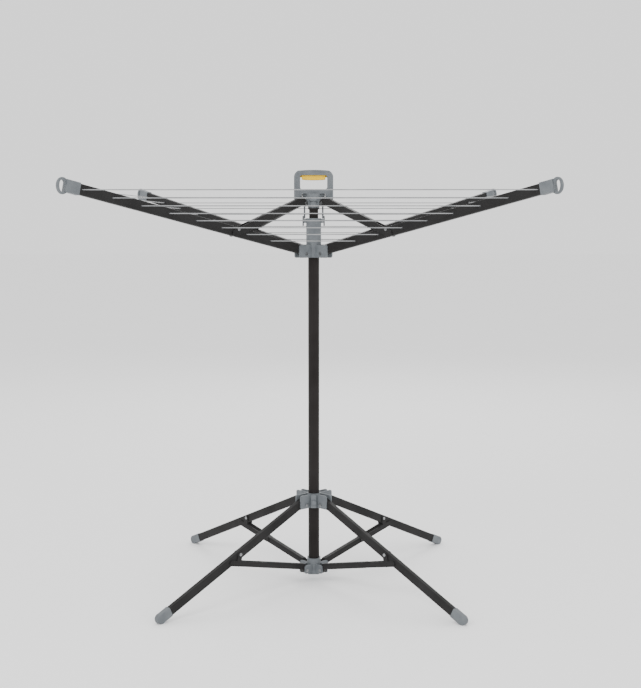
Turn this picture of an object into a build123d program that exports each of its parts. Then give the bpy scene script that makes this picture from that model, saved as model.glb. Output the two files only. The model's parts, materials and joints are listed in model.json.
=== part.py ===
from build123d import *
from math import acos, atan2, cos, degrees, hypot, radians, sin, sqrt
import os

# Rotary clothesline on four folding legs, in millimetres.  +Z is up, the mast axis is
# the Z axis and the floor is z = 0.  Everything that repeats round the mast is built in
# the radial plane (X outward, Y sideways, Z up) and then turned to its azimuth.

CORNERS = {"rear_right": 45, "rear_left": 135, "front_left": 225, "front_right": 315}

# Mast
MAST_R = 19.0
MAST_WALL = 1.2
MAST_FOOT_Z = 32.0
MAST_TOP_Z = 1240.0
INNER_TUBE_R = 15.5
INNER_TUBE_Z = (1180.0, 1336.0)
BUSH_LIP_T = 3.0
SLIDE_GAP = 0.3
PRESS_GAP = 0.05

# Pins and running fits
PIN_R = 3.0
PIN_SEAT_R = 3.03
PIN_BORE_R = 3.08
PIN_HEAD_R = 5.5
PIN_HEAD_T = 1.7
SIDE_GAP = 0.3

# The two folding linkages.  In each one both hub pivots stand at the same radius and the
# two links are equally long, so the sliding hub runs straight along the mast.
PIVOT_R = 46.0
HEAD_PIVOT_Z = 1312.0
ARM_PIVOT_Z = 1142.0
ARM_MID_R = 345.0
LEG_PIVOT_Z = 276.0
BRACE_PIVOT_Z = 44.0
LEG_MID_R = 347.0

# Arms: rectangular tube rising outward
ARM_HEIGHT = 32.0
ARM_WIDTH = 18.0
ARM_WALL = 1.2
ARM_AXIS_Z0 = 1143.7
ARM_SLOPE = 0.2153
ARM_TUBE_R = (75.0, 958.0)
ARM_CAP_R = (937.0, 981.0)
ARM_CAP_MARGIN = 5.0
TIP_RING_R = 989.5
TIP_RING_Z = 1354.0
TIP_RING_HALF = (19.5, 24.5)
TIP_HOLE_HALF = (8.5, 17.0)
TIP_HOLE_SHIFT = 2.5
TIP_RING_T = 9.0

# Clothesline: eight squares, evenly spaced along the arms
LINE_COUNT = 8
LINE_FIRST_R = 212.0
LINE_PITCH = 103.4
LINE_R = 1.5
LINE_BEND_R = 12.0
LINE_JOINT_GAP = 0.2
LINE_HOLE_R = 3.4

# Struts and braces: hollow bar whose side plates straddle the tube at the outer end.
# The bar's axis runs a little off the line between its two pivots.
LINK_WIDTH = 19.0
LINK_WALL = 1.2
FORK_INNER = ARM_WIDTH / 2 + SIDE_GAP
FORK_OUTER = FORK_INNER + 3.0
STRUT_HEIGHT = 26.0
STRUT_AXIS = ((PIVOT_R, 1324.0), (360.0, 1214.0))
STRUT_FORK_LENGTH = 72.0
STRUT_FOLD_DEG = -58.1
BRACE_HEIGHT = 20.0
BRACE_AXIS = ((PIVOT_R, 56.0), (385.0, 137.0))
BRACE_FORK_LENGTH = 132.0
TONGUE_T = 6.0
TONGUE_R = 9.0
TONGUE_ROOT_R = 17.0
SLOT_REACH = 30.0
KNUCKLE_R = 10.0
HOLLOW_FROM = 30.0
PLATE_OVERLAP = 24.0

# Legs
LEG_HEIGHT = 28.0
LEG_WIDTH = 18.0
LEG_WALL = 1.2
LEG_START = (PIVOT_R, 290.0)
LEG_END = (668.0, 15.0)
FOOT_R = 16.0
FOOT_WIDTH = 21.0
FOOT_CAP_R = 632.0
LEG_TUBE_END_R = 651.0

# Hubs
EAR_T = 4.0
TUBE_EAR_IN = ARM_WIDTH / 2 + SIDE_GAP
BRACE_EAR_IN = LINK_WIDTH / 2 + SIDE_GAP
ARM_HUB_Z = (1129.0, 1172.0)
ARM_HUB_R = 78.0
SLEEVE_R = 25.5
SLEEVE_TOP_Z = 1262.0
LUG_X = (22.0, 33.0)
LUG_Z = (1246.0, 1260.0)
LEG_HUB_Z = (264.0, 311.0)
LEG_HUB_R = 75.0
LEG_SLEEVE_R = 25.0
BRACE_HUB_Z = (24.0, 80.0)
BRACE_HUB_WIDTH = 46.0
BRACE_EAR_R = 55.0
BRACE_EAR_Z = (33.0, 62.0)

# Lock knob in a guide on the front of the leg hub
LOCK_Z = 283.0
LOCK_GUIDE_HALF_W = 11.0
LOCK_GUIDE_Y = (-37.0, -21.0)
LOCK_KNOB_R = 7.0
LOCK_KNOB_Y = (-41.0, -29.0)
LOCK_RIM_R = 8.5
LOCK_RIM_T = 4.0
LOCK_STEM_R = 3.0

# Turning head and carrying handle
HEAD_Z = (1298.0, 1345.0)
HEAD_COLLAR_R = 20.0
HEAD_BLOCK_R = 27.0
HEAD_BLOCK_Z = 1321.0
HEAD_BORE_R = 15.6
RETAINER_Z = 1336.3
RETAINER_R = 18.2
RETAINER_T = 3.2
RETAINER_POCKET_R = 18.7
RETAINER_DEPTH = 22.0
COLLAR_T = 5.6
COLLAR_GAP = 0.4
HANDLE_HALF_W = 66.5
HANDLE_DEPTH = 30.0
HANDLE_TOP_Z = 1425.0
HANDLE_FOOT_Z = 1322.0
GRIP_HALF_W = 46.0
GRIP_Z = (1360.0, 1407.0)
HANDLE_CORNER_R = 25.0
HANDLE_CROWN_R = 545.0
HANDLE_EDGE_R = 4.0
HANDLE_SEAT_HALF_W = 40.0
SCREW_X = 22.6
SCREW_R = 1.6
SCREW_Z = (1329.0, 1358.0)
SCREW_HEAD_R = 3.6
SCREW_HEAD_T = 3.0
SCREW_SUNK = 0.4
TRIGGER_HALF_W = 40.0
TRIGGER_Z = (1390.0, 1409.0)
TRIGGER_DEPTH = 18.0
TRIGGER_LEG_X = (53.0, 59.4)
TRIGGER_LEG_HALF_T = 4.0
TRIGGER_FOOT_X = 49.0
TRIGGER_FOOT_Z = (1334.0, 1338.0)
TRIGGER_YOKE_Z = (1400.0, 1408.0)
TRIGGER_TRAVEL = 3.5
TRIGGER_BELLY_R = 420.0
TRIGGER_GAP = 0.4
SPRING_X = 25.0
SPRING_R = 3.2
SPRING_WIRE_R = 0.45
SPRING_PITCH = 1.7
SPRING_LENGTH = 10.2
SPRING_SUNK = 0.9
LATCH_X = 31.0
LATCH_PIVOT_Z = 1335.0
LATCH_HOOK_Z = (1236.0, 1270.0)
LATCH_T = 8.0
LATCH_ROD_HALF = 2.6
LATCH_HOOK_X = (LUG_X[1] + 0.4, LUG_X[1] + 5.0)
LATCH_TAIL_Z = (1338.5, 1343.0)
LATCH_TAIL_END = 52.0
LATCH_BOSS_R = 5.5
TRUNNION_R = 2.5
TRUNNION_BORE_R = 2.58
BRACKET_SIZE = (18.0, 16.0)
BRACKET_T = 3.5


# ---------------------------------------------------------------- shape helpers

def arm_z(r):
    """Height of the arm's centre line at radius r."""
    return ARM_AXIS_Z0 + ARM_SLOPE * r


def leg_z(r):
    """Height of the leg's centre line at radius r."""
    slope = (LEG_END[1] - LEG_START[1]) / (LEG_END[0] - LEG_START[0])
    return LEG_START[1] + slope * (r - LEG_START[0])


def slab(sketch, y0, y1):
    """Extrude a sketch drawn in the radial plane between two sideways positions."""
    return Pos(0, y1, 0) * extrude(Plane.XZ * sketch, y1 - y0, dir=(0, -1, 0))


def across(sketch, width):
    """Extrude a radial-plane sketch to a width centred on the plane."""
    return slab(sketch, -width / 2, width / 2)


def both_sides(sketch, inner, outer):
    """Two equal plates, one each side of the radial plane."""
    return slab(sketch, inner, outer) + slab(sketch, -outer, -inner)


def disc(point, radius):
    return Pos(*point) * Circle(radius)


def link_outline(p0, r0, p1, r1):
    """Outline of two round ends joined by their outer tangents."""
    dx, dz = p1[0] - p0[0], p1[1] - p0[1]
    heading = atan2(dz, dx)
    spread = acos((r0 - r1) / hypot(dx, dz))
    up, down = heading + spread, heading - spread
    corners = [
        (p0[0] + r0 * cos(down), p0[1] + r0 * sin(down)),
        (p1[0] + r1 * cos(down), p1[1] + r1 * sin(down)),
        (p1[0] + r1 * cos(up), p1[1] + r1 * sin(up)),
        (p0[0] + r0 * cos(up), p0[1] + r0 * sin(up)),
    ]
    return Polygon(*corners, align=None) + disc(p0, r0) + disc(p1, r1)


def block(x0, x1, y0, y1, z0, z1):
    """Box between two corners."""
    middle = Pos((x0 + x1) / 2, (y0 + y1) / 2, (z0 + z1) / 2)
    return middle * Box(x1 - x0, y1 - y0, z1 - z0)


def bar(start, end, height, width, corner=0.0):
    """Bar of rectangular section between two points of the radial plane."""
    dx, dz = end[0] - start[0], end[1] - start[1]
    solid = Box(hypot(dx, dz), width, height)
    if corner:
        solid = fillet(solid.edges().filter_by(Axis.X), corner)
    middle = Pos((start[0] + end[0]) / 2, 0, (start[1] + end[1]) / 2)
    return middle * Rot(0, -degrees(atan2(dz, dx)), 0) * solid


def upright(radius, z0, z1):
    """Cylinder on the Z axis between two heights."""
    return Pos(0, 0, (z0 + z1) / 2) * Cylinder(radius, z1 - z0)


def crosswise(point, radius, half_length):
    """Cylinder through the radial plane at a point of it."""
    return Pos(point[0], 0, point[1]) * Rot(90, 0, 0) * Cylinder(radius, 2 * half_length)


def front_rod(radius, y0, y1, z):
    """Cylinder along Y in front of the mast axis, at a height."""
    return Pos(0, (y0 + y1) / 2, z) * Rot(90, 0, 0) * Cylinder(radius, y1 - y0)


def beside_axis(x, radius, z0, z1):
    """Upright cylinder at a distance along X from the mast axis."""
    return Pos(x, 0, 0) * upright(radius, z0, z1)


def headed_pin(point, head_from):
    """Pin through the radial plane with a flat head at each end."""
    head_to = head_from + PIN_HEAD_T
    heads = both_sides(disc(point, PIN_HEAD_R), head_from, head_to)
    return crosswise(point, PIN_R, head_to) + heads


def turned(solid, azimuth):
    return Rot(0, 0, azimuth) * solid


def round_the_mast(solid):
    """The same solid at the four corners."""
    return [turned(solid, azimuth) for azimuth in CORNERS.values()]


# ---------------------------------------------------------------- mast

def mast_tube():
    return upright(MAST_R, MAST_FOOT_Z, MAST_TOP_Z) - upright(
        MAST_R - MAST_WALL, MAST_FOOT_Z - 1, MAST_TOP_Z + 1
    )


def mast_inner_tube():
    z0, z1 = INNER_TUBE_Z
    return upright(INNER_TUBE_R, z0, z1) - upright(INNER_TUBE_R - MAST_WALL, z0 - 1, z1 + 1)


def reducer_bush():
    """Bush that centres the inner tube in the mast, with a lip over the mast's end."""
    body = upright(MAST_R - MAST_WALL - PRESS_GAP, INNER_TUBE_Z[0], MAST_TOP_Z)
    lip_top = MAST_TOP_Z + BUSH_LIP_T
    lip = upright(MAST_R - SLIDE_GAP, MAST_TOP_Z, lip_top)
    lip = chamfer(lip.edges().group_by(Axis.Z)[-1], 0.8)
    return body + lip - upright(INNER_TUBE_R + PRESS_GAP, INNER_TUBE_Z[0] - 1, lip_top + 1)


def thrust_collar():
    """Ring on the inner tube that carries the turning head."""
    top = HEAD_Z[0] - COLLAR_GAP
    ring = upright(HEAD_COLLAR_R - 0.5, top - COLLAR_T, top)
    ring = fillet(ring.edges().filter_by(GeomType.CIRCLE), 0.8)
    return ring - upright(INNER_TUBE_R + PRESS_GAP, top - COLLAR_T - 1, top + 1)


def head_retainer():
    """Plug in the inner tube whose flange keeps the head from lifting off."""
    plug_r = INNER_TUBE_R - MAST_WALL - PRESS_GAP
    plug = upright(plug_r, RETAINER_Z - RETAINER_DEPTH, RETAINER_Z)
    flange = upright(RETAINER_R, RETAINER_Z, RETAINER_Z + RETAINER_T)
    core = upright(plug_r - 8, RETAINER_Z - RETAINER_DEPTH - 1, RETAINER_Z - RETAINER_T)
    return plug + flange - core


def brace_hub():
    """Socket at the mast's foot with a pair of ears for each brace."""
    z0, z1 = BRACE_HUB_Z
    w = BRACE_HUB_WIDTH
    body = extrude(Pos(0, 0, z0) * RectangleRounded(w, w, 12), z1 - z0)
    body = chamfer(body.edges().group_by(Axis.Z)[0], 2)
    for piece in round_the_mast(ear_pair(BRACE_EAR_IN, BRACE_EAR_R, *BRACE_EAR_Z)):
        body += piece
    body -= upright(MAST_R + PRESS_GAP, MAST_FOOT_Z, z1 + 1)
    for hole in round_the_mast(crosswise((PIVOT_R, BRACE_PIVOT_Z), PIN_SEAT_R, 20)):
        body -= hole
    return body


def hub_pins(z, head_from):
    """One pin at each corner of a hub, with its heads at head_from either side."""
    pin = headed_pin((PIVOT_R, z), head_from)
    return Compound(children=[p.solid() for p in round_the_mast(pin)])


# ---------------------------------------------------------------- struts and braces

def folding_link(inner, outer, axis, height, fork_length):
    """Hollow bar with a round knuckle at the hub and side plates at the tube.

    The full-width bar stops short of the tube by fork_length.  The plates carry its
    straight line on to the axis end, with a lug up or down to the outer pivot.
    """
    start, end = axis
    length = hypot(end[0] - start[0], end[1] - start[1])
    along = ((end[0] - start[0]) / length, (end[1] - start[1]) / length)

    def on_axis(distance):
        return (start[0] + along[0] * distance, start[1] + along[1] * distance)

    stop = length - fork_length
    half = height / 2
    plate_r = half - 1.5
    link = bar(on_axis(6), on_axis(stop), height, LINK_WIDTH, 2.5)
    hollow_h, hollow_w = height - 2 * LINK_WALL, LINK_WIDTH - 2 * LINK_WALL
    link -= bar(on_axis(HOLLOW_FROM), on_axis(stop + 1), hollow_h, hollow_w)
    knuckle = link_outline(inner, KNUCKLE_R, on_axis(half), half - 0.5)
    link += across(knuckle, LINK_WIDTH)
    plate_start = on_axis(stop - PLATE_OVERLAP)
    plate = link_outline(plate_start, plate_r, on_axis(length - 3), plate_r + 0.5)
    beside = (outer[0] - start[0]) * along[0] + (outer[1] - start[1]) * along[1]
    plate += link_outline(on_axis(beside), plate_r + 1, outer, plate_r + 0.5)
    link += both_sides(plate, FORK_INNER, FORK_OUTER)
    link -= crosswise(inner, PIN_BORE_R, 20)
    return link - crosswise(outer, PIN_BORE_R, 20)


def strut():
    """Link from the head to the arm, slotted for the head's tongue in every pose."""
    pivot = (PIVOT_R, HEAD_PIVOT_Z)
    link = folding_link(pivot, arm_mid(), STRUT_AXIS, STRUT_HEIGHT, STRUT_FORK_LENGTH)
    folded = radians(180 - STRUT_FOLD_DEG)
    slot_end = (pivot[0] + SLOT_REACH * cos(folded), pivot[1] + SLOT_REACH * sin(folded))
    slot = link_outline(pivot, TONGUE_R + 2.2, slot_end, TONGUE_R + 1)
    return link - across(slot, TONGUE_T + 2 * SIDE_GAP)


def brace():
    """Link from the mast's foot to the leg."""
    pivot = (PIVOT_R, BRACE_PIVOT_Z)
    return folding_link(pivot, leg_mid(), BRACE_AXIS, BRACE_HEIGHT, BRACE_FORK_LENGTH)


# ---------------------------------------------------------------- arms

def line_radii():
    return [LINE_FIRST_R + LINE_PITCH * i for i in range(LINE_COUNT)]


def line_wall_r(radius):
    """Radius at which a line passes the arm's side wall."""
    return radius - ARM_WIDTH / 2 + ARM_WALL / 2


def arm_mid():
    return (ARM_MID_R, (HEAD_PIVOT_Z + ARM_PIVOT_Z) / 2)


def arm_tube():
    r0, r1 = ARM_TUBE_R
    start, end = (r0, arm_z(r0)), (r1, arm_z(r1))
    tube = bar(start, end, ARM_HEIGHT, ARM_WIDTH, 3)
    inside = bar(start, end, ARM_HEIGHT - 2 * ARM_WALL, ARM_WIDTH - 2 * ARM_WALL)
    tube -= inside
    tube -= crosswise(arm_mid(), PIN_SEAT_R, 20)
    for radius in line_radii():
        wall_r = line_wall_r(radius)
        tube -= crosswise((wall_r, arm_z(wall_r)), LINE_HOLE_R, 20)
    return tube


def arm_root():
    """Moulded end that carries the arm on its hub pin and plugs into the tube."""
    pivot = (PIVOT_R, ARM_PIVOT_Z)
    r0 = ARM_TUBE_R[0]
    knuckle = link_outline(pivot, 13.5, (r0 - 16, arm_z(r0 - 16) - 1), 14.5)
    root = across(knuckle, ARM_WIDTH)
    root += bar((r0 - 16, arm_z(r0 - 16)), (r0, arm_z(r0)), ARM_HEIGHT - 1, ARM_WIDTH, 2)
    plug_h = ARM_HEIGHT - 2 * ARM_WALL - 0.1
    plug_w = ARM_WIDTH - 2 * ARM_WALL - 0.1
    root += bar((r0 - 4, arm_z(r0 - 4)), (r0 + 26, arm_z(r0 + 26)), plug_h, plug_w)
    return root - crosswise(pivot, PIN_BORE_R, 20)


def arm_tip():
    """End cap with an upright oval ring for a hanger."""
    r0, r1 = ARM_CAP_R
    cap_h, cap_w = ARM_HEIGHT + ARM_CAP_MARGIN, ARM_WIDTH + ARM_CAP_MARGIN
    cap = bar((r0, arm_z(r0)), (r1, arm_z(r1)), cap_h, cap_w, 3.5)
    ring = Pos(TIP_RING_R, TIP_RING_Z) * Ellipse(*TIP_RING_HALF)
    hole = Pos(TIP_RING_R + TIP_HOLE_SHIFT, TIP_RING_Z) * Ellipse(*TIP_HOLE_HALF)
    ring -= hole
    hoop = across(ring, TIP_RING_T)
    hoop = fillet(hoop.edges().filter_by(GeomType.ELLIPSE), 2.2)
    end = (ARM_TUBE_R[1], arm_z(ARM_TUBE_R[1]))
    mouth = (r0 - 5, arm_z(r0 - 5))
    socket = bar(mouth, end, ARM_HEIGHT + 0.1, ARM_WIDTH + 0.1)
    return cap + hoop - across(hole, 2 * ARM_WIDTH) - socket


def arm_lines():
    """Corner of each line square: two half sides meeting round the arm's middle."""
    corners = []
    for radius in line_radii():
        wall_r = line_wall_r(radius)
        half = radius / 2 + LINE_JOINT_GAP / 2 / sqrt(2)
        level = Plane.XY.offset(arm_z(wall_r))
        route = level * FilletPolyline(
            (half, -radius + half), (radius, 0), (half, radius - half), radius=LINE_BEND_R
        )
        section = Plane(route @ 0, z_dir=route % 0) * Circle(LINE_R)
        corners.append(sweep(section, path=route))
    return Compound(children=[c.solid() for c in corners])


# ---------------------------------------------------------------- legs

def leg_mid():
    return (LEG_MID_R, (LEG_PIVOT_Z + BRACE_PIVOT_Z) / 2)


def leg_tube():
    """Leg with its hub end filled and deepened round the pivot."""
    start = (PIVOT_R - 3, leg_z(PIVOT_R - 3))
    end = (LEG_TUBE_END_R, leg_z(LEG_TUBE_END_R))
    hollow = (PIVOT_R + 36, leg_z(PIVOT_R + 36))
    leg = bar(start, end, LEG_HEIGHT, LEG_WIDTH, 3)
    leg -= bar(hollow, end, LEG_HEIGHT - 2 * LEG_WALL, LEG_WIDTH - 2 * LEG_WALL)
    pivot = (PIVOT_R, LEG_PIVOT_Z)
    lug_end = (PIVOT_R + 34, leg_z(PIVOT_R + 34))
    leg += across(link_outline(pivot, 10.5, lug_end, 13), LEG_WIDTH)
    leg -= crosswise(pivot, PIN_BORE_R, 20)
    return leg - crosswise(leg_mid(), PIN_SEAT_R, 20)


def foot_cap():
    """Moulded foot with a round toe cut flat where it stands."""
    mouth = (FOOT_CAP_R, leg_z(FOOT_CAP_R))
    cap = bar(mouth, LEG_END, LEG_HEIGHT + 3, FOOT_WIDTH, 3)
    toe = across(disc(LEG_END, FOOT_R), FOOT_WIDTH)
    toe = fillet(toe.edges().filter_by(GeomType.CIRCLE), 3)
    outside = (FOOT_CAP_R - 5, leg_z(FOOT_CAP_R - 5))
    end = (LEG_TUBE_END_R, leg_z(LEG_TUBE_END_R))
    socket = bar(outside, end, LEG_HEIGHT + 0.1, LEG_WIDTH + 0.1)
    return cap + toe - socket - block(500, 800, -50, 50, -50, 0)


# ---------------------------------------------------------------- sliding hubs

def ear_pair(ear_in, outer_r, z0, z1):
    """Pair of ears either side of the radial plane, reaching in to the hub's body."""
    profile = Pos((12 + outer_r) / 2, (z0 + z1) / 2) * Rectangle(outer_r - 12, z1 - z0)
    profile = fillet(profile.vertices().group_by(Axis.X)[-1], 7)
    return both_sides(profile, ear_in, ear_in + EAR_T)


def eared_hub(z0, z1, sleeve_r, sleeve_top, outer_r, pivot_z):
    """Sleeve on the mast with four pairs of ears and a web between each two pairs."""
    hub = upright(sleeve_r, z0, sleeve_top)
    for piece in round_the_mast(ear_pair(TUBE_EAR_IN, outer_r, z0, z1)):
        hub += piece
    hub -= upright(MAST_R + SLIDE_GAP, z0 - 1, sleeve_top + 1)
    for hole in round_the_mast(crosswise((PIVOT_R, pivot_z), PIN_SEAT_R, 30)):
        hub -= hole
    return hub


def arm_hub():
    """Hub that slides on the mast, with a long sleeve and a lug for each latch."""
    hub = eared_hub(*ARM_HUB_Z, SLEEVE_R, SLEEVE_TOP_Z, ARM_HUB_R, ARM_PIVOT_Z)
    lug = block(*LUG_X, -7, 7, *LUG_Z)
    lug = chamfer(lug.edges().group_by(Axis.Z)[-1].filter_by(Axis.Y), 2)
    hub += lug
    hub += turned(lug, 180)
    return hub - upright(MAST_R + SLIDE_GAP, ARM_HUB_Z[0] - 1, SLEEVE_TOP_Z + 1)


def leg_hub():
    """Hub that slides on the mast above the braces, with a guide for the lock button."""
    z0, z1 = LEG_HUB_Z
    hub = eared_hub(z0, z1, LEG_SLEEVE_R, z1, LEG_HUB_R, LEG_PIVOT_Z)
    guide = block(-LOCK_GUIDE_HALF_W, LOCK_GUIDE_HALF_W, *LOCK_GUIDE_Y, z0, z1 - 2)
    guide = fillet(guide.edges().filter_by(Axis.Z).group_by(Axis.Y)[0], 5)
    hub += guide
    hub += turned(guide, 180)
    hub -= upright(MAST_R + SLIDE_GAP, z0 - 1, z1 + 1)
    knob_back = LOCK_KNOB_Y[1] + 4
    hub -= front_rod(LOCK_KNOB_R + SLIDE_GAP, LOCK_KNOB_Y[0], knob_back, LOCK_Z)
    return hub - front_rod(LOCK_STEM_R + SLIDE_GAP, LOCK_KNOB_Y[0], 0, LOCK_Z)


def leg_lock_button():
    """Knob and pin that lock the leg hub on the mast; it is pulled out to free it."""
    knob = front_rod(LOCK_KNOB_R, *LOCK_KNOB_Y, LOCK_Z)
    rim_middle = LOCK_KNOB_Y[0]
    rim = front_rod(LOCK_RIM_R, rim_middle - LOCK_RIM_T / 2, rim_middle + LOCK_RIM_T / 2, LOCK_Z)
    rim = fillet(rim.edges().filter_by(GeomType.CIRCLE), 1.2)
    stem = front_rod(LOCK_STEM_R, LOCK_KNOB_Y[1] - 1, -(MAST_R + SLIDE_GAP), LOCK_Z)
    return knob + rim + stem


# ---------------------------------------------------------------- head and handle

def upper_hub():
    """Turning hub at the mast's top: tongues for the struts, brackets for the latches."""
    z0, z1 = HEAD_Z
    hub = upright(HEAD_COLLAR_R, z0, HEAD_BLOCK_Z + 1) + upright(HEAD_BLOCK_R, HEAD_BLOCK_Z, z1)
    pivot = (PIVOT_R, HEAD_PIVOT_Z)
    root = (TONGUE_ROOT_R, HEAD_PIVOT_Z)
    for piece in round_the_mast(across(link_outline(root, TONGUE_R, pivot, TONGUE_R), TONGUE_T)):
        hub += piece
    bracket = Pos(LATCH_X - 2, LATCH_PIVOT_Z + 2) * Rectangle(*BRACKET_SIZE)
    bracket = fillet(bracket.vertices().group_by(Axis.Y)[0], 4)
    inner = LATCH_T / 2 + SIDE_GAP
    hub += both_sides(bracket, inner, inner + BRACKET_T)
    hub += both_sides(mirror(bracket, about=Plane.YZ), inner, inner + BRACKET_T)
    for side in (-1, 1):
        hub -= crosswise((side * LATCH_X, LATCH_PIVOT_Z), TRUNNION_BORE_R, 20)
        hub -= beside_axis(side * SCREW_X, SCREW_R + PRESS_GAP, SCREW_Z[0] - 2, z1 + 1)
        near, far = sorted((side * 24, side * 40))
        hub -= block(near, far, -inner, inner, z0, z1 + 1)
    hub -= upright(HEAD_BORE_R, z0 - 1, z1 + 1)
    hub -= upright(RETAINER_POCKET_R, INNER_TUBE_Z[1], z1 + 1)
    for hole in round_the_mast(crosswise(pivot, PIN_SEAT_R, 20)):
        hub -= hole
    return hub


def handle_outline():
    """Front outline of the handle, with its crowned top."""
    height = HANDLE_TOP_Z - HANDLE_FOOT_Z
    outline = Pos(0, HANDLE_FOOT_Z + height / 2) * Rectangle(2 * HANDLE_HALF_W, height)
    outline = fillet(outline.vertices().group_by(Axis.Y)[-1], HANDLE_CORNER_R)
    outline = fillet(outline.vertices().group_by(Axis.Y)[0], 5)
    return outline & (Pos(0, HANDLE_TOP_Z - HANDLE_CROWN_R) * Circle(HANDLE_CROWN_R))


def trigger_space():
    """What the trigger needs inside the handle: a pocket, a cross slot and two side slots."""
    half_t = TRIGGER_DEPTH / 2 + TRIGGER_GAP
    slot_t = TRIGGER_LEG_HALF_T + TRIGGER_GAP
    top = TRIGGER_Z[1] + TRIGGER_TRAVEL + 0.6
    pocket_x = TRIGGER_HALF_W + 0.5
    slot_x0, slot_x1 = TRIGGER_LEG_X[0] - 0.5, TRIGGER_LEG_X[1] + 0.5
    slot_foot, slot_head = TRIGGER_FOOT_Z[0] - 2, LATCH_TAIL_Z[1] + 7
    space = block(-pocket_x, pocket_x, -half_t, half_t, GRIP_Z[1] - 1, top)
    space += block(-slot_x1, slot_x1, -slot_t, slot_t, TRIGGER_YOKE_Z[0] - 0.5, top)
    for side in (-1, 1):
        near, far = sorted((side * slot_x0, side * slot_x1))
        space += block(near, far, -slot_t, slot_t, slot_foot, top)
        near, far = sorted((side * (HANDLE_SEAT_HALF_W - 1), side * slot_x1))
        space += block(near, far, -slot_t, slot_t, slot_foot, slot_head)
    return space


def handle_frame():
    """Carrying handle: grip opening, trigger space, spring pockets and screw holes."""
    grip_h = GRIP_Z[1] - GRIP_Z[0]
    grip = Pos(0, GRIP_Z[0] + grip_h / 2) * RectangleRounded(2 * GRIP_HALF_W, grip_h, 7)
    w = HANDLE_SEAT_HALF_W
    handle = across(handle_outline(), HANDLE_DEPTH)
    handle = fillet(handle.faces().filter_by(Axis.Y).edges(), HANDLE_EDGE_R)
    handle -= across(grip, 2 * HANDLE_DEPTH)
    handle -= block(-w, w, -w, w, HANDLE_FOOT_Z - 10, HEAD_Z[1])
    handle -= trigger_space()
    for side in (-1, 1):
        spring_z = TRIGGER_Z[1] - 2
        handle -= beside_axis(side * SPRING_X, SPRING_R + 1.1, spring_z, spring_z + 12)
        handle -= beside_axis(side * SCREW_X, SCREW_R + TRIGGER_GAP, HEAD_Z[1] - 1, GRIP_Z[0])
        seat = GRIP_Z[0] - SCREW_SUNK - SCREW_HEAD_T - 0.1
        handle -= beside_axis(side * SCREW_X, SCREW_HEAD_R + SIDE_GAP, seat, GRIP_Z[0] + 1)
    return handle


def handle_screws():
    """Two screws that join the handle to the turning hub."""
    screws = []
    top = GRIP_Z[0] - SCREW_SUNK
    for side in (-1, 1):
        shank = beside_axis(side * SCREW_X, SCREW_R, *SCREW_Z)
        head = beside_axis(side * SCREW_X, SCREW_HEAD_R, top - SCREW_HEAD_T, top)
        slot = Pos(side * SCREW_X, 0, top) * Box(6, 1, 1.6)
        screws.append((shank + head - slot).solid())
    return Compound(children=screws)


def trigger():
    """Finger bar under the grip, with a leg down each side to lift the latches."""
    z0, z1 = TRIGGER_Z
    t = TRIGGER_LEG_HALF_T
    belly = Pos(0, z0 + TRIGGER_BELLY_R) * Circle(TRIGGER_BELLY_R)
    front = Pos(0, (z0 + z1) / 2) * Rectangle(2 * TRIGGER_HALF_W, z1 - z0)
    front = fillet(front.vertices().group_by(Axis.Y)[0], 6) & belly
    finger_bar = across(front, TRIGGER_DEPTH)
    lower_edges = finger_bar.faces().filter_by(Axis.Y).edges().group_by(Axis.Z)[0]
    finger_bar = fillet(lower_edges, 2.5)
    x0, x1 = TRIGGER_LEG_X
    solid = finger_bar + block(-x1, x1, -t, t, *TRIGGER_YOKE_Z)
    for side in (-1, 1):
        near, far = sorted((side * x0, side * x1))
        solid += block(near, far, -t, t, TRIGGER_FOOT_Z[0], TRIGGER_YOKE_Z[1])
        near, far = sorted((side * TRIGGER_FOOT_X, side * x1))
        solid += block(near, far, -t, t, *TRIGGER_FOOT_Z)
        solid -= beside_axis(side * SPRING_X, SPRING_R + 1, z1 - 1.5, z1 + 1.5)
    return solid


def trigger_springs():
    """Two compression springs between the trigger and the grip."""
    springs = []
    for side in (-1, 1):
        foot = Pos(side * SPRING_X, 0, TRIGGER_Z[1] - SPRING_SUNK)
        coil = foot * Helix(SPRING_PITCH, SPRING_LENGTH, SPRING_R)
        section = Plane(coil @ 0, z_dir=coil % 0) * Circle(SPRING_WIRE_R)
        springs.append(sweep(section, path=coil, is_frenet=True).solid())
    return Compound(children=springs)


def latch():
    """Latch of the right-hand side: tail over the trigger's foot, rod and hook."""
    t, w = LATCH_T / 2, LATCH_ROD_HALF
    rod_x0, rod_x1 = LATCH_X - w, LATCH_X + w
    lug_top = LUG_Z[1]
    tail = block(rod_x0, LATCH_TAIL_END, -t, t, *LATCH_TAIL_Z)
    boss = across(disc((LATCH_X, LATCH_PIVOT_Z), LATCH_BOSS_R), LATCH_T)
    rod = block(rod_x0, rod_x1, -3, 3, lug_top + 2, LATCH_PIVOT_Z)
    hook = block(*LATCH_HOOK_X, -t, t, *LATCH_HOOK_Z)
    hook = fillet(hook.edges().filter_by(Axis.Y), 1.8)
    neck = block(rod_x0, LATCH_HOOK_X[1], -3, 3, lug_top + 1, lug_top + 10)
    neck = chamfer(neck.edges().filter_by(Axis.Y).group_by(Axis.Z)[-1].sort_by(Axis.X)[-1], 4)
    trunnion = crosswise((LATCH_X, LATCH_PIVOT_Z), TRUNNION_R, t + 3)
    return tail + boss + rod + hook + neck + trunnion


# ---------------------------------------------------------------- parts

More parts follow.
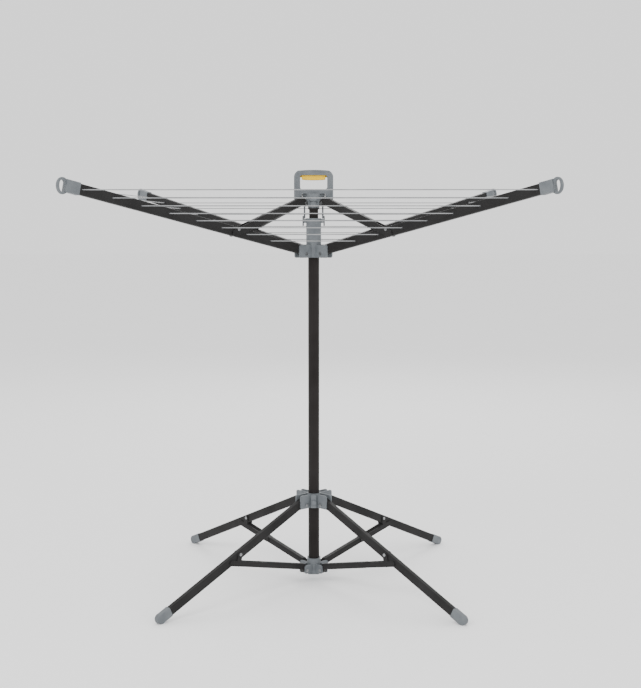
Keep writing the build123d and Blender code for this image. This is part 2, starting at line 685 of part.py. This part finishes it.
def build_parts():
    parts = {
        "mast_tube": mast_tube(),
        "mast_inner_tube": mast_inner_tube(),
        "reducer_bush": reducer_bush(),
        "thrust_collar": thrust_collar(),
        "head_retainer": head_retainer(),
        "brace_hub": brace_hub(),
        "brace_hub_pins": hub_pins(BRACE_PIVOT_Z, BRACE_EAR_IN + EAR_T),
        "leg_hub": leg_hub(),
        "leg_hub_pins": hub_pins(LEG_PIVOT_Z, TUBE_EAR_IN + EAR_T),
        "leg_lock_button": leg_lock_button(),
        "upper_hub": upper_hub(),
        "upper_hub_pins": hub_pins(HEAD_PIVOT_Z, LINK_WIDTH / 2 + SIDE_GAP),
        "handle_frame": handle_frame(),
        "handle_screws": handle_screws(),
        "trigger": trigger(),
        "trigger_springs": trigger_springs(),
        "latch_right": latch(),
        "latch_left": turned(latch(), 180),
        "arm_hub": arm_hub(),
        "arm_hub_pins": hub_pins(ARM_PIVOT_Z, TUBE_EAR_IN + EAR_T),
    }
    at_each_corner = {
        "arm_tube": arm_tube(),
        "arm_root": arm_root(),
        "arm_tip": arm_tip(),
        "arm_rivet": headed_pin(arm_mid(), FORK_OUTER + SIDE_GAP),
        "line": arm_lines(),
        "strut": strut(),
        "leg_tube": leg_tube(),
        "foot_cap": foot_cap(),
        "leg_rivet": headed_pin(leg_mid(), FORK_OUTER + SIDE_GAP),
        "brace": brace(),
    }
    for name, solid in at_each_corner.items():
        for corner, azimuth in CORNERS.items():
            parts[f"{name}_{corner}"] = turned(solid, azimuth)
    return parts


def main():
    os.makedirs("parts", exist_ok=True)
    for name, solid in build_parts().items():
        export_step(solid, f"parts/{name}.step")
    print(f"line length {4 * sqrt(2) * sum(line_radii()) / 1000:.2f} m")


main()
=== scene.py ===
import json
import math

import bmesh
import bpy
from mathutils import Matrix, Vector


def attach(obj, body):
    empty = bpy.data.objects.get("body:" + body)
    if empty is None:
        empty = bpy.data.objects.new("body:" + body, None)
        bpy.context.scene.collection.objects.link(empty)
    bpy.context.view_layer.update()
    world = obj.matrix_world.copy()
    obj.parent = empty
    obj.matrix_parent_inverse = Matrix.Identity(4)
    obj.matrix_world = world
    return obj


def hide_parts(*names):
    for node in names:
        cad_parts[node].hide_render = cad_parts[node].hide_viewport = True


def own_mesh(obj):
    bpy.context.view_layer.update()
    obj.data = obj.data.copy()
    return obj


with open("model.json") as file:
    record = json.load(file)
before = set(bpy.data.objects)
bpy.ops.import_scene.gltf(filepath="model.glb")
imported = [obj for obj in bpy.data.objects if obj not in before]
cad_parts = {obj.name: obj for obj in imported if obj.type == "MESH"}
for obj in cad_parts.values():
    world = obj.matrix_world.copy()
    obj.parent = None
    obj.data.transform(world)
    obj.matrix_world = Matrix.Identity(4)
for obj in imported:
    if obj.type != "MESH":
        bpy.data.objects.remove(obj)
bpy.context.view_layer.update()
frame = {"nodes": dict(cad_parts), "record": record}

NODES = frame["nodes"]
CORNERS = {"rear_right": 45, "rear_left": 135, "front_left": 225, "front_right": 315}

# Camera, as set up for the view from the front
CAMERA_PLACE = (0.0733, -4.1494, 1.263)
CAMERA_DROP_DEG = 5.94
CAMERA_TURN_DEG = 0.69
CAMERA_LENS_MM = 63.4
CAMERA_SENSOR_MM = 36.0
CAMERA_REACH = 200.0

# Even white studio light from all round, and three soft lamps: place and power of each
WORLD_STRENGTH = 1.4
LAMP_SIZE = 3.0
LAMP_AIM = (0.0, 0.0, 0.8)
LAMPS = {
    "key": ((-3.0, -4.0, 4.5), 150.0),
    "fill": ((3.5, -3.5, 3.0), 60.0),
    "rim": ((0.5, 4.5, 4.0), 80.0),
}
FLOOR_RADIUS = 40.0
FLOOR_SIDES = 96

# Clothesline, as in the CAD model
LINE_COUNT = 8
LINE_FIRST_R = 0.212
LINE_PITCH = 0.1034
LINE_RADIUS = 0.0015
LINE_BEND_R = 0.012
LINE_BEND_STEPS = 12
LINE_GAP = 0.0001
LINE_SIDES = 12
ARM_HALF_WIDTH = 0.009
ARM_WALL = 0.0012
ARM_AXIS_Z0 = 1.1437
ARM_SLOPE = 0.2153

# Eyelets in the arms' side walls
EYELET_HOLE_R = 0.0031
EYELET_FLANGE_R = 0.0056
EYELET_PROUD = 0.0009
EYELET_SIDES = 28

# Creases that stay sharp under smooth shading
TUBE_CREASE_DEG = 50.0
EYELET_CREASE_DEG = 35.0


# ---------------------------------------------------------------- materials

class Surface:
    """A material under construction: a Principled shader and helpers that add nodes."""

    def __init__(self, name, metallic=0.0):
        self.material = bpy.data.materials.new(name)
        self.material.use_nodes = True
        self.tree = self.material.node_tree
        self.tree.nodes.clear()
        self.output = self.tree.nodes.new("ShaderNodeOutputMaterial")
        self.shader = self.tree.nodes.new("ShaderNodeBsdfPrincipled")
        self.link(self.shader.outputs["BSDF"], self.output.inputs["Surface"])
        self.shader.inputs["Metallic"].default_value = metallic
        self.coordinates = self.tree.nodes.new("ShaderNodeTexCoord").outputs["Object"]

    def link(self, source, target):
        self.tree.links.new(source, target)

    def noise(self, scale, detail=2.0, roughness=0.5):
        node = self.tree.nodes.new("ShaderNodeTexNoise")
        node.inputs["Scale"].default_value = scale
        node.inputs["Detail"].default_value = detail
        node.inputs["Roughness"].default_value = roughness
        self.link(self.coordinates, node.inputs["Vector"])
        return node.outputs["Fac"]

    def cells(self, scale):
        node = self.tree.nodes.new("ShaderNodeTexVoronoi")
        node.inputs["Scale"].default_value = scale
        self.link(self.coordinates, node.inputs["Vector"])
        return node.outputs["Distance"]

    def remap(self, value, low, high, to_low, to_high):
        node = self.tree.nodes.new("ShaderNodeMapRange")
        node.inputs["From Min"].default_value = low
        node.inputs["From Max"].default_value = high
        node.inputs["To Min"].default_value = to_low
        node.inputs["To Max"].default_value = to_high
        self.link(value, node.inputs["Value"])
        return node.outputs["Result"]

    def math(self, operation, first, second):
        node = self.tree.nodes.new("ShaderNodeMath")
        node.operation = operation
        for socket, value in zip(node.inputs, (first, second)):
            if isinstance(value, (int, float)):
                socket.default_value = value
            else:
                self.link(value, socket)
        return node.outputs["Value"]

    def blend(self, factor, first, second):
        """Colour that goes from first to second as factor goes from 0 to 1."""
        node = self.tree.nodes.new("ShaderNodeMix")
        node.data_type = "RGBA"
        self.link(factor, node.inputs["Factor"])
        for socket, value in ((node.inputs[6], first), (node.inputs[7], second)):
            if isinstance(value, tuple):
                socket.default_value = (*value, 1.0)
            else:
                self.link(value, socket)
        return node.outputs[2]

    def rounded(self, radius):
        """Bevel node, whose normal rounds every sharp edge to a radius."""
        bevel = self.tree.nodes.new("ShaderNodeBevel")
        bevel.samples = 8
        bevel.inputs["Radius"].default_value = radius
        return bevel

    def edges(self, radius):
        """1 on convex and concave edges, 0 on flat faces."""
        bevel = self.rounded(radius)
        geometry = self.tree.nodes.new("ShaderNodeNewGeometry")
        dot = self.tree.nodes.new("ShaderNodeVectorMath")
        dot.operation = "DOT_PRODUCT"
        self.link(bevel.outputs["Normal"], dot.inputs[0])
        self.link(geometry.outputs["Normal"], dot.inputs[1])
        return self.remap(dot.outputs["Value"], 0.995, 0.9, 0.0, 1.0)

    def set_color(self, color):
        self.link(color, self.shader.inputs["Base Color"])

    def set_roughness(self, value):
        self.link(value, self.shader.inputs["Roughness"])

    def near_plane(self, axis, half_width):
        """1 within half_width of the object's own middle plane across an axis."""
        split = self.tree.nodes.new("ShaderNodeSeparateXYZ")
        self.link(self.coordinates, split.inputs["Vector"])
        distance = self.math("ABSOLUTE", split.outputs[axis], 0.0)
        return self.remap(distance, half_width * 0.6, half_width, 1.0, 0.0)

    def set_bump(self, height, strength, distance, edge_radius=0.0):
        bump = self.tree.nodes.new("ShaderNodeBump")
        if edge_radius:
            self.link(self.rounded(edge_radius).outputs["Normal"], bump.inputs["Normal"])
        bump.inputs["Strength"].default_value = strength
        bump.inputs["Distance"].default_value = distance
        self.link(height, bump.inputs["Height"])
        self.link(bump.outputs["Normal"], self.shader.inputs["Normal"])


def powder_coat(name, dark, light, edge, gloss=0.42):
    """Powder-coated steel tube: orange peel, faint dust and a painted highlight along its edges, paler in
    patches.
    """
    s = Surface(name)
    patches = s.remap(s.noise(scale=9.0, detail=3.0), 0.35, 0.65, 0.0, 1.0)
    dusty = s.remap(s.noise(scale=230.0, detail=3.0, roughness=0.7), 0.62, 0.78, 0.0, 0.35)
    tone = s.blend(dusty, s.blend(patches, dark, light), edge)
    # Painted highlight: edges found by the Bevel normal are lightened towards the edge colour, in noise
    # patches.
    highlight_patches = s.remap(s.noise(scale=60.0, detail=3.0), 0.4, 0.6, 0.1, 0.8)
    painted_edge_highlight = s.math("MULTIPLY", s.edges(0.0012), highlight_patches)
    s.set_color(s.blend(painted_edge_highlight, tone, edge))
    s.set_roughness(s.remap(s.noise(scale=26.0, detail=4.0, roughness=0.6), 0.3, 0.7, gloss, gloss + 0.16))
    fine = s.math("MULTIPLY", s.noise(scale=2400.0, detail=1.0), 0.35)
    peel = s.math("ADD", s.noise(scale=620.0, detail=1.0), fine)
    s.set_bump(peel, strength=0.22, distance=0.0004, edge_radius=0.0008)
    s.shader.inputs["Specular IOR Level"].default_value = 0.12
    return s.material


def moulded_plastic(name, base, light, gloss=0.42, grain=1500.0, seam=False):
    """Injection-moulded plastic with spark-eroded grain, a painted highlight that lightens its edges and,
    on the handle, the parting line between its two shells."""
    s = Surface(name)
    clouds = s.remap(s.noise(scale=30.0, detail=3.0), 0.35, 0.65, 0.0, 0.35)
    tone = s.blend(clouds, base, light)
    # Painted highlight: edges are lightened towards the paler colour, in noise patches.
    highlight_patches = s.remap(s.noise(scale=90.0, detail=2.0), 0.35, 0.65, 0.2, 0.7)
    painted_edge_sheen = s.math("MULTIPLY", s.edges(0.001), highlight_patches)
    color = s.blend(painted_edge_sheen, tone, light)
    coarse = s.math("MULTIPLY", s.cells(grain * 0.6), 0.4)
    pits = s.math("ADD", s.noise(scale=grain, detail=2.0), coarse)
    if seam:
        line = s.near_plane("Y", 0.0004)
        color = s.blend(line, color, tuple(c * 0.25 for c in base))
        pits = s.math("SUBTRACT", pits, s.math("MULTIPLY", line, 3.0))
    s.set_color(color)
    s.set_roughness(s.remap(s.noise(scale=45.0, detail=4.0), 0.3, 0.7, gloss, gloss + 0.14))
    s.set_bump(pits, strength=0.3, distance=0.00025, edge_radius=0.0009)
    s.shader.inputs["Specular IOR Level"].default_value = 0.3
    return s.material


def zinc_steel(name):
    """Dull zinc-plated steel with fine turning marks."""
    s = Surface(name, metallic=1.0)
    mottle = s.remap(s.noise(scale=140.0, detail=3.0), 0.35, 0.65, 0.0, 1.0)
    s.set_color(s.blend(mottle, (0.21, 0.215, 0.22), (0.33, 0.335, 0.34)))
    s.set_roughness(s.remap(s.noise(scale=220.0, detail=3.0), 0.3, 0.7, 0.22, 0.4))
    marks = s.noise(scale=1800.0, detail=2.0)
    s.set_bump(marks, strength=0.15, distance=0.0002, edge_radius=0.0005)
    return s.material


def line_cord(name):
    """Coated clothesline cord: grey skin, darker where it is dusty, over a twisted core."""
    s = Surface(name)
    dust = s.remap(s.noise(scale=14.0, detail=4.0), 0.35, 0.65, 0.0, 1.0)
    s.set_color(s.blend(dust, (0.20, 0.205, 0.21), (0.29, 0.295, 0.30)))
    s.set_roughness(s.remap(s.noise(scale=300.0, detail=2.0), 0.3, 0.7, 0.42, 0.6))
    twist = s.noise(scale=1500.0, detail=2.0)
    s.set_bump(twist, strength=0.35, distance=0.0003)
    s.shader.inputs["Specular IOR Level"].default_value = 0.3
    return s.material


def floor_material():
    s = Surface("pale_floor")
    s.set_color(s.blend(s.noise(scale=1.5, detail=2.0), (0.965, 0.965, 0.965), (0.985, 0.985, 0.985)))
    s.set_roughness(s.remap(s.noise(scale=3.0, detail=2.0), 0.3, 0.7, 0.85, 0.95))
    s.shader.inputs["Specular IOR Level"].default_value = 0.2
    return s.material


# Painted steel: darkest and lightest paint, and a paler colour for its dust and its painted edge highlight
TUBE_PAINT = ((0.013, 0.0125, 0.0125), (0.020, 0.0195, 0.0195), (0.06, 0.06, 0.06))
MAST_PAINT = ((0.011, 0.009, 0.0085), (0.017, 0.0145, 0.014), (0.05, 0.048, 0.047))
LATCH_PAINT = ((0.075, 0.082, 0.088), (0.11, 0.118, 0.125), (0.2, 0.2, 0.2))

# Plastic: its own colour, and a paler colour for random clouding and its painted edge highlight
GREY = ((0.106, 0.117, 0.127), (0.195, 0.21, 0.22))
BLACK = ((0.010, 0.010, 0.0105), (0.03, 0.03, 0.032))
YELLOW = ((0.78, 0.47, 0.004), (0.84, 0.55, 0.03))

MATERIALS = {
    "dark_tube": powder_coat("dark_tube", *TUBE_PAINT),
    "mast_paint": powder_coat("mast_paint", *MAST_PAINT),
    "black_plastic": moulded_plastic("black_plastic", *BLACK),
    "grey_plastic": moulded_plastic("grey_plastic", *GREY),
    "handle_shell": moulded_plastic("handle_shell", *GREY, seam=True),
    "zinc_steel": zinc_steel("zinc_steel"),
    "latch_steel": powder_coat("latch_steel", *LATCH_PAINT),
    "line_cord": line_cord("line_cord"),
    "trigger_yellow": moulded_plastic("trigger_yellow", *YELLOW, gloss=0.5),
}


# ---------------------------------------------------------------- helpers

def new_piece(name, mesh, material):
    piece = bpy.data.objects.new(name, mesh)
    bpy.context.scene.collection.objects.link(piece)
    piece.data.materials.append(MATERIALS[material])
    return piece


def smooth(mesh, crease_deg):
    """Smooth shading with creases above an angle."""
    limit = math.radians(crease_deg)
    made = bmesh.new()
    made.from_mesh(mesh)
    for face in made.faces:
        face.smooth = True
    for edge in made.edges:
        if len(edge.link_faces) == 2:
            edge.smooth = edge.calc_face_angle(0.0) < limit
    made.to_mesh(mesh)
    made.free()


def tube_mesh(name, path, radius, sides):
    """Closed tube that follows a path lying in a level plane."""
    made = bmesh.new()
    rings = []
    for i, point in enumerate(path):
        before = path[max(i - 1, 0)]
        after = path[min(i + 1, len(path) - 1)]
        ahead = (after - before).normalized()
        side = Vector((0, 0, 1)).cross(ahead).normalized()
        up = ahead.cross(side)
        ring = []
        for k in range(sides):
            turn = 2 * math.pi * k / sides
            spoke = math.cos(turn) * side + math.sin(turn) * up
            ring.append(made.verts.new(point + radius * spoke))
        rings.append(ring)
    for one, two in zip(rings, rings[1:]):
        for k in range(sides):
            n = (k + 1) % sides
            made.faces.new((one[k], one[n], two[n], two[k]))
    made.faces.new(list(reversed(rings[0])))
    made.faces.new(rings[-1])
    bmesh.ops.recalc_face_normals(made, faces=made.faces[:])
    mesh = bpy.data.meshes.new(name)
    made.to_mesh(mesh)
    made.free()
    smooth(mesh, TUBE_CREASE_DEG)
    return mesh


# ---------------------------------------------------------------- clothesline

def arm_z(r):
    return ARM_AXIS_Z0 + ARM_SLOPE * r


def line_wall_r(radius):
    """Radius at which a line passes the arm's side wall."""
    return radius - ARM_HALF_WIDTH + ARM_WALL / 2


def line_radii():
    return [LINE_FIRST_R + LINE_PITCH * i for i in range(LINE_COUNT)]


def corner_path(radius):
    """One corner of a line square, in the radial plane's frame: half a side each way."""
    level = arm_z(line_wall_r(radius))
    half = radius / 2 + LINE_GAP / math.sqrt(2)
    centre = radius - LINE_BEND_R * math.sqrt(2)
    path = [Vector((half, -radius + half, level))]
    for i in range(LINE_BEND_STEPS + 1):
        turn = math.radians(-45 + 90 * i / LINE_BEND_STEPS)
        bend = Vector((math.cos(turn), math.sin(turn), 0.0)) * LINE_BEND_R
        path.append(Vector((centre, 0.0, level)) + bend)
    path.append(Vector((half, radius - half, level)))
    return path


def clothesline():
    for corner, azimuth in CORNERS.items():
        turn = Matrix.Rotation(math.radians(azimuth), 4, "Z")
        for i, radius in enumerate(line_radii()):
            name = f"line_{i + 1}_{corner}"
            path = [turn @ p for p in corner_path(radius)]
            mesh = tube_mesh(name, path, LINE_RADIUS, LINE_SIDES)
            piece = new_piece(name, mesh, "line_cord")
            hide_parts(f"line_{corner}")
            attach(piece, f"arm_{corner}")
            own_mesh(piece)


def add_eyelet(made, place, outward):
    """Round flange with a hole, standing on a side wall that faces outward."""
    along = Vector((0, 0, 1)).cross(outward)
    profile = [
        (EYELET_HOLE_R, -EYELET_PROUD),
        (EYELET_HOLE_R, EYELET_PROUD * 0.6),
        (EYELET_HOLE_R + EYELET_PROUD * 0.5, EYELET_PROUD),
        (EYELET_FLANGE_R - EYELET_PROUD, EYELET_PROUD),
        (EYELET_FLANGE_R, EYELET_PROUD * 0.25),
        (EYELET_FLANGE_R, -EYELET_PROUD * 0.5),
    ]
    rings = []
    for radius, height in profile:
        ring = []
        for k in range(EYELET_SIDES):
            turn = 2 * math.pi * k / EYELET_SIDES
            spoke = math.cos(turn) * along + math.sin(turn) * Vector((0, 0, 1))
            ring.append(made.verts.new(place + radius * spoke + height * outward))
        rings.append(ring)
    for one, two in zip(rings, rings[1:] + rings[:1]):
        for k in range(EYELET_SIDES):
            n = (k + 1) % EYELET_SIDES
            made.faces.new((one[k], one[n], two[n], two[k]))


def eyelets():
    """Black eyelets round the holes where the lines pass through each arm."""
    for corner, azimuth in CORNERS.items():
        turn = Matrix.Rotation(math.radians(azimuth), 4, "Z")
        made = bmesh.new()
        for radius in line_radii():
            wall_r = line_wall_r(radius)
            for side in (-1, 1):
                place = turn @ Vector((wall_r, side * ARM_HALF_WIDTH, arm_z(wall_r)))
                add_eyelet(made, place, turn @ Vector((0, side, 0)))
        bmesh.ops.recalc_face_normals(made, faces=made.faces[:])
        mesh = bpy.data.meshes.new(f"line_eyelets_{corner}")
        made.to_mesh(mesh)
        made.free()
        smooth(mesh, EYELET_CREASE_DEG)
        piece = new_piece(f"line_eyelets_{corner}", mesh, "black_plastic")
        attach(piece, f"arm_{corner}")


# ---------------------------------------------------------------- CAD nodes

# The handle's grey plastic shows the parting line between its two shells
HANDLE_MATERIAL = {"handle_frame": "handle_shell"}


def paint_cad_nodes():
    for part in frame["record"]["subparts"]:
        node = NODES[part["node"]]
        material = HANDLE_MATERIAL.get(part["node"], part["material_slot"])
        node.data.materials.clear()
        node.data.materials.append(MATERIALS[material])


# ---------------------------------------------------------------- stage

def make_floor():
    mesh = bpy.data.meshes.new("floor")
    made = bmesh.new()
    bmesh.ops.create_circle(made, cap_ends=True, segments=FLOOR_SIDES, radius=FLOOR_RADIUS)
    made.to_mesh(mesh)
    made.free()
    floor = bpy.data.objects.new("floor", mesh)
    bpy.context.scene.collection.objects.link(floor)
    mesh.materials.append(floor_material())


def make_lamp(name, place, power):
    data = bpy.data.lights.new(name, "AREA")
    data.shape = "DISK"
    data.size = LAMP_SIZE
    data.energy = power
    lamp = bpy.data.objects.new(name, data)
    lamp.location = place
    ahead = Vector(LAMP_AIM) - Vector(place)
    lamp.rotation_euler = ahead.to_track_quat("-Z", "Y").to_euler()
    bpy.context.scene.collection.objects.link(lamp)


def make_lights():
    world = bpy.data.worlds.new("studio")
    world.use_nodes = True
    background = world.node_tree.nodes["Background"]
    background.inputs["Color"].default_value = (1.0, 1.0, 1.0, 1.0)
    background.inputs["Strength"].default_value = WORLD_STRENGTH
    bpy.context.scene.world = world
    for name, (place, power) in LAMPS.items():
        make_lamp(name, place, power)


def make_camera():
    data = bpy.data.cameras.new("camera")
    data.lens = CAMERA_LENS_MM
    data.sensor_width = CAMERA_SENSOR_MM
    data.clip_end = CAMERA_REACH
    camera = bpy.data.objects.new("camera", data)
    camera.location = CAMERA_PLACE
    tilt = math.radians(90 - CAMERA_DROP_DEG)
    camera.rotation_euler = (tilt, 0.0, math.radians(CAMERA_TURN_DEG))
    bpy.context.scene.collection.objects.link(camera)
    bpy.context.scene.camera = camera


make_camera()
make_lights()
make_floor()
paint_cad_nodes()
clothesline()
eyelets()
